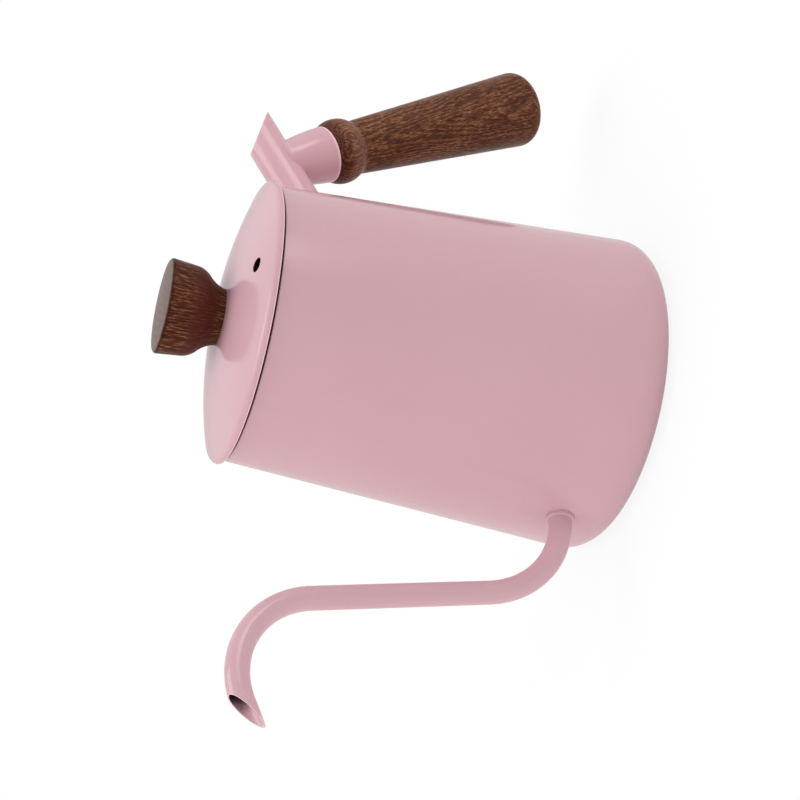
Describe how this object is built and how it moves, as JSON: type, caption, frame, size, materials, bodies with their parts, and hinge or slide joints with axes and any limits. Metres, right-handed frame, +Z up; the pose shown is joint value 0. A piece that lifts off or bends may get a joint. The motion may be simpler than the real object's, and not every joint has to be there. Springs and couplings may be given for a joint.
{
  "type": "gooseneck kettle",
  "caption": "Small stovetop drip kettle: tapered painted steel body, slim gooseneck spout, lift-off domed lid with a turned wooden knob, and a sloping wooden side grip.",
  "frame": {"origin": "centre of the base, on the surface the kettle stands on", "axes": "+Z up along the body's axis, +X towards the spout, with the grip on the -X side"},
  "size_m": [0.277, 0.1054, 0.1568],
  "materials": {
    "pink_paint": "semi-gloss dusty pink enamel paint",
    "dark_wood": "oiled dark brown hardwood with fine streaks along the grain",
    "stainless_steel": "plain satin stainless steel",
    "brass": "plain machined brass"
  },
  "bodies": {
    "kettle": {"body_shell": "pink_paint", "base_pan": "pink_paint", "spout_tube": "pink_paint", "spout_collar": "pink_paint", "handle_arm": "pink_paint", "arm_end_cap": "pink_paint", "handle_ferrule": "pink_paint", "handle_stud": "stainless_steel", "handle_grip": "dark_wood", "grip_insert": "brass"},
    "lid": {"lid_shell": "pink_paint", "lid_collar": "stainless_steel", "lid_knob": "dark_wood", "knob_insert": "brass", "knob_washer": "stainless_steel", "knob_screw": "stainless_steel"}
  },
  "joints": [
    {"name": "lid_lift", "type": "slide", "parent": "kettle", "child": "lid", "axis": [0, 0, 1], "range_m": [0, 0.08]}
  ]
}
